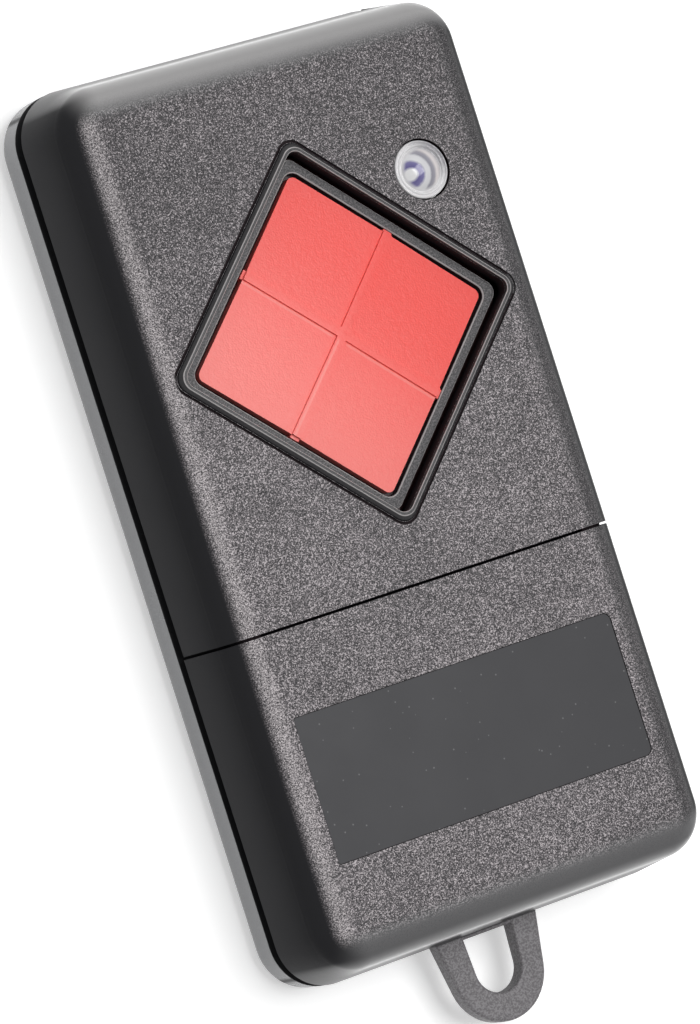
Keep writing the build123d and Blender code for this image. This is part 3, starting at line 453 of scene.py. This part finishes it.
def makeKeyFinish(look):
    finish, tree, shader = startFinish("keyRed", Specular_IOR_Level=look["shine"])
    point, x, y, z = spot(tree)
    up = calc(tree, "SUBTRACT", y, keyMiddleY)
    alongOne = times(tree, calc(tree, "ADD", x, up), look["slant"])
    alongTwo = times(tree, calc(tree, "SUBTRACT", x, up), look["slant"])
    mottle = noise(tree, point, look["mottlePerMm"], detail=4.0)
    specks = noise(tree, point, look["specksPerMm"], detail=2.0)

    # painted sheen: the pads turn paler toward the left and the loop end, with a little mottle
    leanX, leanY = look["lean"]
    lean = calc(tree, "MULTIPLY_ADD", x, leanX, times(tree, up, leanY))
    lean = calc(tree, "MULTIPLY_ADD", mottle, look["mottleReach"], lean)
    highlightShare = times(tree, fade(tree, lean, *look["sheenReach"]), look["paleSheenShare"])
    speckled = fade(tree, specks, *look["specksTone"])
    share = calc(tree, "MULTIPLY_ADD", speckled, look["specksShare"], highlightShare)
    tone = blend(tree, share, look["red"], look["paleSheen"])

    # painted highlights: light lines along the edges of the cross
    half = look["armHalf"]
    start, end = look["edgeEnds"]
    besideOne = fade(tree, calc(tree, "ABSOLUTE", alongTwo), half + start, half + end)
    edgeOne = times(tree, stripe(tree, alongOne, look["edgeOne"], -half), besideOne)
    besideTwo = fade(tree, alongOne, -half - start, -half - end)
    edgeTwo = times(tree, stripe(tree, alongTwo, look["edgeTwo"], -half), besideTwo)
    edgeHighlight = times(tree, calc(tree, "MAXIMUM", edgeOne, edgeTwo), look["lineShare"])
    tone = blend(tree, edgeHighlight, tone, look["line"])

    # painted shade darkens the key below the pads
    feed(shader, Base_Color=blend(tree, fade(tree, z, *look["flangeShadeZ"]), tone, look["paintedShade"]),
         Roughness=swing(tree, mottle, look["roughSwing"], look["roughness"]),
         Normal=rough(tree, calc(tree, "ADD", specks, mottle), look["depth"]))
    return finish


put(makeKeyFinish(keyLook), "rocker_key")


# Black frame round the key
frameLook = {
    "dark": (0.032, 0.030, 0.033, 1),
    "light": (0.155, 0.148, 0.152, 1),
    # painted highlight on the frame's top edges
    "edge": (0.42, 0.40, 0.40, 1),
    "edgeZ": (13.84, 13.88, 13.995, 13.985),
    # painted shade: the frame's sides, down by the slot, darker than its top
    "sideZ": (13.84, 13.7),
    "sideShadeDim": 0.3,
    "grainPerMm": 5.5,
    "grainTone": (0.42, 0.66),
    "grainDepth": 0.05,
    "roughness": 0.42,
    "roughSwing": 0.2,
    "shine": 0.5,
}


def makeFrameFinish(look):
    finish, tree, shader = startFinish("frameBlack", Specular_IOR_Level=look["shine"])
    point, *_, z = spot(tree)
    grain = noise(tree, point, look["grainPerMm"], roughness=0.65)
    top = blend(tree, fade(tree, grain, *look["grainTone"]), look["dark"], look["light"])
    # painted highlight on the edges of the top
    top = blend(tree, stripe(tree, z, look["edgeZ"]), top, look["edge"])
    side = dimmed(look["dark"], look["sideShadeDim"])
    feed(shader, Base_Color=blend(tree, fade(tree, z, *look["sideZ"]), top, side),
         Roughness=swing(tree, grain, look["roughSwing"], look["roughness"]),
         Normal=rough(tree, grain, look["grainDepth"]))
    return finish


put(makeFrameFinish(frameLook), "key_frame")
print("key finishes done")


# Clear plastics: the lamp, and the lens turned from its outline
clearLook = {"bend": 1.49, "ripplePerMm": 0.8, "rippleDepth": 0.012, "rippleRough": 0.06}
lampLook = {"tone": (0.60, 0.55, 0.74, 1), "roughness": 0.10, "through": 0.35}


def makeClearFinish(name, look, through):
    finish, tree, shader = startFinish(name, Base_Color=look["tone"], Transmission_Weight=through,
                                       IOR=clearLook["bend"])
    ripple = noise(tree, spot(tree)[0], clearLook["ripplePerMm"], detail=1.0, roughness=0.5)
    feed(shader, Roughness=calc(tree, "MULTIPLY_ADD", ripple, clearLook["rippleRough"], look["roughness"]),
         Normal=rough(tree, ripple, clearLook["rippleDepth"]))
    return finish, tree, shader


put(makeClearFinish("lampClear", lampLook, lampLook["through"])[0], "lamp_body")

lensLook = {
    "tone": (0.90, 0.91, 0.95, 1),
    "milky": (0.93, 0.92, 0.93, 1),
    "grey": (0.36, 0.35, 0.38, 1),
    "glow": (-1.45, -0.25),  # middle of the painted highlight and the rings of painted reflection seen in the dome
    "bandsReach": 4.0,  # mm
    "reflectionRings": (  # share of the reach, tone
        (0.12, (0.95, 0.95, 0.95, 1)),
        (0.19, (0.17, 0.15, 0.36, 1)),
        (0.30, (0.24, 0.22, 0.44, 1)),
        (0.37, (0.86, 0.86, 0.88, 1)),
        (0.48, (0.80, 0.80, 0.83, 1)),
        (0.54, (0.36, 0.35, 0.41, 1)),
        (0.62, (0.42, 0.41, 0.46, 1)),
        (0.70, (0.86, 0.80, 0.80, 1)),
        (0.95, (0.62, 0.60, 0.62, 1)),
    ),
    "scuffPerMm": 2.4,
    "scuffSwing": 0.04,
    "milkFrom": (1.7, 2.1),
    "topZ": (14.9, 15.1),
    "shadowLean": 0.6,
    "shadowReach": (0.2, 3.2),
    "shadowShare": (0.4, 1.2),
    "roughness": 0.07,
    "through": (0.85, 0.25),  # in the stem, and in the ring and the dome
    "plainThrough": 0.8,  # where only one value is read
    "dome": (2.02, 15.23, 0.70),  # radius, foot height, rise
    "domeSteps": 16,
    "rings": (  # radius, height
        (2.06, 15.10), (2.14, 15.08), (2.20, 15.14), (2.26, 15.26), (2.34, 15.30), (2.42, 15.27),
        (2.47, 15.17), (2.53, 15.14), (2.58, 15.18), (2.63, 15.27), (2.70, 15.30), (2.77, 15.27),
        (2.82, 15.19), (2.83, 15.08), (2.83, 14.42), (2.81, 14.37), (2.76, 14.36), (2.20, 14.36),
        (2.19, 14.30), (2.19, 13.02), (2.16, 12.97), (0.0, 12.96),
    ),
    "turns": 96,
    "gate": {"angle": -80, "start": 2.5, "reach": 2.895, "half": 0.30, "top": 15.06, "foot": 14.38,
             "corner": 0.05},
}


def addGate(work, gate):  # small moulding mark at the disc's edge
    box = bmesh.ops.create_cube(work, size=1.0)["verts"]
    long = gate["reach"] - gate["start"]
    tall, middle = gate["top"] - gate["foot"], (gate["top"] + gate["foot"]) / 2
    bmesh.ops.scale(work, verts=box, vec=(long * mm, 2 * gate["half"] * mm, tall * mm))
    bmesh.ops.translate(work, verts=box, vec=((gate["start"] + long / 2) * mm, 0, middle * mm))
    edges = list({edge for corner in box for edge in corner.link_edges})
    beveled = bmesh.ops.bevel(work, geom=edges, offset=gate["corner"] * mm, segments=2, affect="EDGES",
                              profile=0.5)
    corners = {corner for face in beveled["faces"] for corner in face.verts}
    corners |= {corner for corner in box if corner.is_valid}
    turn = Matrix.Rotation(math.radians(gate["angle"]), 3, "Z")
    bmesh.ops.rotate(work, verts=list(corners), cent=(0, 0, 0), matrix=turn)


def makeLensDisc(look):
    radius, foot, rise = look["dome"]
    ball = (radius ** 2 + rise ** 2) / (2 * rise)
    steps = look["domeSteps"]
    outline = []
    for step in range(steps + 1):
        angle = math.asin(radius / ball) * step / steps
        outline.append((ball * math.sin(angle), foot + rise - ball * (1 - math.cos(angle))))
    outline += look["rings"]
    work = bmesh.new()
    turns = look["turns"]
    rings = []
    for reach, height in outline:
        if reach == 0:  # the tip and the foot are one point each
            rings.append([work.verts.new((0, 0, height * mm))])
            continue
        rings.append([])
        for place in range(turns):
            turn = 2 * math.pi * place / turns
            x, y = reach * mm * math.cos(turn), reach * mm * math.sin(turn)
            rings[-1].append(work.verts.new((x, y, height * mm)))
    for upper, lower in zip(rings, rings[1:]):
        for place in range(turns):
            after = (place + 1) % turns
            corners = [upper[place % len(upper)], lower[place % len(lower)]]
            corners += [lower[after % len(lower)], upper[after % len(upper)]]
            work.faces.new(list(dict.fromkeys(corners)))  # a point stands once
    addGate(work, look["gate"])
    bmesh.ops.recalc_face_normals(work, faces=work.faces[:])
    mesh = bpy.data.meshes.new("lensDisc")
    work.to_mesh(mesh)
    work.free()
    for face in mesh.polygons:
        face.use_smooth = True
    return mesh


def makeLensFinish(look):
    inStem, inRing = look["through"]
    finish, tree, shader = makeClearFinish("lensClear", look, look["plainThrough"])
    point, x, y, z = spot(tree)
    milk = fade(tree, length(tree, x, y), *look["milkFrom"])
    onTop = fade(tree, z, *look["topZ"])
    scuff = noise(tree, point, look["scuffPerMm"])
    # painted highlight and reflections: light and purple rings about one point of the dome
    glowX, glowY = look["glow"]
    fromHighlight = length(tree, calc(tree, "SUBTRACT", x, glowX), calc(tree, "SUBTRACT", y, glowY))
    wavy = swing(tree, scuff, look["scuffSwing"])
    reflectionRings = add(tree, "ValToRGB", {0: calc(tree, "MULTIPLY_ADD", fromHighlight, 1 / look["bandsReach"], wavy)})
    stops = reflectionRings.color_ramp.elements
    while len(stops) < len(look["reflectionRings"]):
        stops.new(0.5)  # each gets its place below
    for stop, (place, tone) in zip(stops, look["reflectionRings"]):
        stop.position, stop.color = place, tone
    seen = blend(tree, onTop, look["tone"], reflectionRings.outputs["Color"])
    shadow = fade(tree, calc(tree, "MULTIPLY_ADD", y, look["shadowLean"], x), *look["shadowReach"])
    shadow = times(tree, shadow, between(tree, scuff, *look["shadowShare"]))
    ring = blend(tree, shadow, look["milky"], look["grey"])
    feed(shader, Base_Color=blend(tree, milk, seen, ring),
         Transmission_Weight=between(tree, calc(tree, "MAXIMUM", milk, onTop), inStem, inRing))
    return finish


def makeLens(look):
    mesh = makeLensDisc(look)
    mesh.materials.append(makeLensFinish(look))
    lens = bpy.data.objects.new("lensDisc", mesh)
    bpy.context.scene.collection.objects.link(lens)
    lens.location = (lensX * mm, lensY * mm, 0)
    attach(lens, "case")
    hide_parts("indicator_lens")


makeLens(lensLook)
print("lens done")


# Metals inside the case
metals = {  # perMm counts the drawn lines, stretch draws them out along an axis
    "leadTin": {"tone": (0.66, 0.67, 0.68, 1), "roughness": 0.35, "perMm": 5.0, "stretch": (1, 1, 0.2),
                "pieces": ["lamp_leads", "controller_legs"]},
    "wireCopper": {"tone": (0.72, 0.42, 0.26, 1), "roughness": 0.32, "perMm": 4.0, "stretch": (0.2, 1, 1),
                   "pieces": ["antenna_wire"]},
    "canNickel": {"tone": (0.68, 0.66, 0.60, 1), "roughness": 0.30, "perMm": 2.5, "stretch": (1, 0.15, 1),
                  "pieces": ["resonator_can", "crystal_can"]},
    "switchSteel": {"tone": (0.70, 0.70, 0.70, 1), "roughness": 0.33, "perMm": 4.0, "stretch": (0.15, 1, 1),
                    "pieces": ["switch_cover_" + side for side in keySides]},
    "domeSteel": {"tone": (0.72, 0.72, 0.72, 1), "roughness": 0.25, "perMm": 4.0, "stretch": (0.15, 1, 1),
                  "pieces": ["contact_domes"]},
    "ballSteel": {"tone": (0.62, 0.62, 0.63, 1), "roughness": 0.18, "perMm": 3.0, "stretch": (1, 1, 1),
                  "pieces": ["pivot_ball"]},
    "cellSteel": {"tone": (0.70, 0.70, 0.70, 1), "roughness": 0.32, "perMm": 3.0, "stretch": (0.1, 1, 1),
                  "pieces": ["battery_can", "battery_cap"]},
    "contactNickel": {"tone": (0.70, 0.69, 0.66, 1), "roughness": 0.30, "perMm": 3.5, "stretch": (1, 1, 0.15),
                      "pieces": ["negative_contact", "positive_contact"]},
    "screwZinc": {"tone": (0.56, 0.56, 0.57, 1), "roughness": 0.38, "perMm": 3.0, "stretch": (1, 1, 0.3),
                  "pieces": ["case_screw", "board_screws"]},
}
metalWear = {"perMm": 0.6, "tone": (0.35, 0.75), "dim": 0.6, "roughSwing": 0.2, "depth": 0.006}


def makeMetalFinish(name, look, wear):
    finish, tree, shader = startFinish(name, Metallic=1.0)
    point = spot(tree)[0]
    drawn = add(tree, "VectorMath", {0: point, 1: look["stretch"]}, operation="MULTIPLY").outputs[0]
    lines = noise(tree, drawn, look["perMm"])
    dull = fade(tree, noise(tree, point, wear["perMm"]), *wear["tone"])
    feed(shader, Base_Color=blend(tree, dull, look["tone"], dimmed(look["tone"], wear["dim"])),
         Roughness=swing(tree, lines, wear["roughSwing"], look["roughness"]),
         Normal=rough(tree, lines, wear["depth"]))
    return finish


for name, look in metals.items():
    put(makeMetalFinish(name, look, metalWear), *look["pieces"])


# Moulded and ceramic parts inside
mouldings = {  # perMm counts the specks, depth is that of the grain in mm
    "switchBlack": {"tone": (0.025, 0.025, 0.028, 1), "specks": (0.06, 0.06, 0.065, 1), "roughness": 0.5,
                    "perMm": 4.0, "depth": 0.01, "pieces": ["switch_base_" + side for side in keySides]},
    "plungerBlack": {"tone": (0.03, 0.03, 0.033, 1), "specks": (0.07, 0.07, 0.075, 1), "roughness": 0.42,
                     "perMm": 5.0, "depth": 0.01, "pieces": ["switch_plunger_" + side for side in keySides]},
    "chipBlack": {"tone": (0.02, 0.02, 0.022, 1), "specks": (0.06, 0.06, 0.065, 1), "roughness": 0.48,
                  "perMm": 7.0, "depth": 0.015, "pieces": ["controller_body", "transistors"]},
    "resistorBlack": {"tone": (0.03, 0.03, 0.035, 1), "specks": (0.10, 0.10, 0.11, 1), "roughness": 0.35,
                      "perMm": 3.0, "depth": 0.01, "pieces": ["smd_resistors"]},
    "capacitorTan": {"tone": (0.50, 0.36, 0.22, 1), "specks": (0.40, 0.27, 0.15, 1), "roughness": 0.40,
                     "perMm": 3.0, "depth": 0.01, "pieces": ["smd_capacitors"]},
    "sleevePlain": {"tone": (0.12, 0.13, 0.16, 1), "specks": (0.18, 0.19, 0.22, 1), "roughness": 0.30,
                    "perMm": 0.5, "depth": 0.02, "pieces": ["battery_sleeve"]},
}
mouldedGrain = {"tone": (0.4, 0.75), "roughSwing": 0.2}


def makeMouldedFinish(name, look, grained):
    finish, tree, shader = startFinish(name)
    grain = noise(tree, spot(tree)[0], look["perMm"])
    feed(shader, Base_Color=blend(tree, fade(tree, grain, *grained["tone"]), look["tone"], look["specks"]),
         Roughness=swing(tree, grain, grained["roughSwing"], look["roughness"]),
         Normal=rough(tree, grain, look["depth"]))
    return finish


for name, look in mouldings.items():
    put(makeMouldedFinish(name, look, mouldedGrain), *look["pieces"])


# Circuit board
boardLook = {
    "mask": (0.018, 0.115, 0.045, 1),
    "track": (0.035, 0.21, 0.085, 1),
    "tracks": {"Scale": 0.45, "Mortar Size": 0.09, "Brick Width": 1.9, "Row Height": 0.8},
    "weavePerMm": 3.0,
    "weaveShare": 0.3,
    "depth": 0.03,
    "roughness": 0.38,
    "roughSwing": 0.2,
}


def makeBoardFinish(look):
    finish, tree, shader = startFinish("boardGreen")
    point = spot(tree)[0]
    lines = add(tree, "TexBrick", {"Vector": point, **look["tracks"]}).outputs["Fac"]
    weave = noise(tree, point, look["weavePerMm"], detail=2.0, roughness=0.5)
    height = calc(tree, "ADD", lines, times(tree, weave, look["weaveShare"]))
    feed(shader, Base_Color=blend(tree, lines, look["mask"], look["track"]),
         Roughness=swing(tree, weave, look["roughSwing"], look["roughness"]),
         Normal=rough(tree, height, look["depth"]))
    return finish


put(makeBoardFinish(boardLook), "circuit_board")
print("inner finishes done")


# Floor: pale, white to the camera, with the shadow kept
floorLook = {
    "tone": (0.88, 0.88, 0.88, 1),
    "grainPerMm": 0.02,
    "grainDim": 0.99,
    "roughness": 0.9,
    "shine": 0.1,
    "glow": 0.40,
    "size": 6.0,  # m
    "under": 0.02,  # mm below the part
}


def makeFloor(look):
    half = look["size"] / 2
    corners = [(-half, -half, 0), (half, -half, 0), (half, half, 0), (-half, half, 0)]
    mesh = bpy.data.meshes.new("floor")
    mesh.from_pydata(corners, [], [(0, 1, 2, 3)])
    floor = bpy.data.objects.new("floor", mesh)
    bpy.context.scene.collection.objects.link(floor)
    floor.location.z = -look["under"] * mm
    finish, tree, shader = startFinish("floorPale", Roughness=look["roughness"],
                                       Specular_IOR_Level=look["shine"])
    grain = noise(tree, spot(tree)[0], look["grainPerMm"], detail=2.0, roughness=0.5)
    darker = dimmed(look["tone"], look["grainDim"])
    feed(shader, Base_Color=blend(tree, grain, look["tone"], darker))
    path = add(tree, "LightPath").outputs
    seen = calc(tree, "MAXIMUM", path["Is Camera Ray"], path["Is Glossy Ray"])
    seen = calc(tree, "MAXIMUM", seen, path["Is Transmission Ray"])
    glow = add(tree, "Emission", {"Color": (1, 1, 1, 1), "Strength": times(tree, seen, look["glow"])})
    both = add(tree, "AddShader", {0: shader.outputs[0], 1: glow.outputs[0]})
    tree.links.new(both.outputs[0], tree.nodes["Material Output"].inputs["Surface"])
    mesh.materials.append(finish)


makeFloor(floorLook)


# Studio light: a plain sky and two soft boxes
lightLook = {
    "horizon": 0.95,
    "zenith": 0.31,
    "band": 0.4,
    "over": {"place": (0.10, 0.05, 0.76), "aim": (0, 0, 0), "size": 0.42, "power": 3.8},
    "lampEnd": {"place": (0.12, 0.60, 0.50), "aim": (0, 0, 0), "size": 0.50, "power": 0.7},
}


def makeSky(look):
    world = bpy.data.worlds.new("studio")
    bpy.context.scene.world = world
    world.use_nodes = True
    tree = world.node_tree
    tree.nodes.clear()
    out = tree.nodes.new("ShaderNodeOutputWorld")
    up = add(tree, "SeparateXYZ", {0: add(tree, "TexCoord").outputs["Generated"]}).outputs[2]
    strength = ramp(tree, up, 0.0, look["band"], look["horizon"], look["zenith"])
    sky = add(tree, "Background", {"Color": (1, 1, 1, 1), "Strength": strength})
    tree.links.new(sky.outputs[0], out.inputs["Surface"])


def makeSoftbox(name, settings):
    lamp = bpy.data.lights.new(name + "Softbox", "AREA")
    lamp.shape = "SQUARE"
    lamp.size = settings["size"]
    lamp.energy = settings["power"]
    holder = bpy.data.objects.new(name + "Softbox", lamp)
    bpy.context.scene.collection.objects.link(holder)
    holder.location = settings["place"]
    toward = Vector(settings["aim"]) - Vector(settings["place"])
    holder.rotation_euler = toward.to_track_quat("-Z", "Y").to_euler()


makeSky(lightLook)
for name in ("over", "lampEnd"):
    makeSoftbox(name, lightLook[name])


# Camera at the photograph's viewing angle
cameraLook = {
    "place": (-0.23446, 0.00396, 0.45295),
    "lean": 27.6165,  # degrees to the left of straight above
    "pitch": 0.172,
    "roll": 17.647,
    "lens": 272.16,
    "sensor": 36.0,
    "clip": (0.02, 20.0),
}


def makeCamera(look):
    camera = bpy.data.cameras.new("camera")
    camera.sensor_fit = "HORIZONTAL"
    camera.sensor_width = look["sensor"]
    camera.lens = look["lens"]
    camera.clip_start, camera.clip_end = look["clip"]
    holder = bpy.data.objects.new("camera", camera)
    bpy.context.scene.collection.objects.link(holder)
    turn = (
        Matrix.Rotation(-math.radians(look["lean"]), 4, "Y")
        @ Matrix.Rotation(-math.radians(look["pitch"]), 4, "X")
        @ Matrix.Rotation(-math.radians(look["roll"]), 4, "Z")
    )
    holder.matrix_world = Matrix.Translation(look["place"]) @ turn
    bpy.context.scene.camera = holder


makeCamera(cameraLook)
bpy.context.scene.view_settings.view_transform = "Standard"
print("floor, lights and camera done")
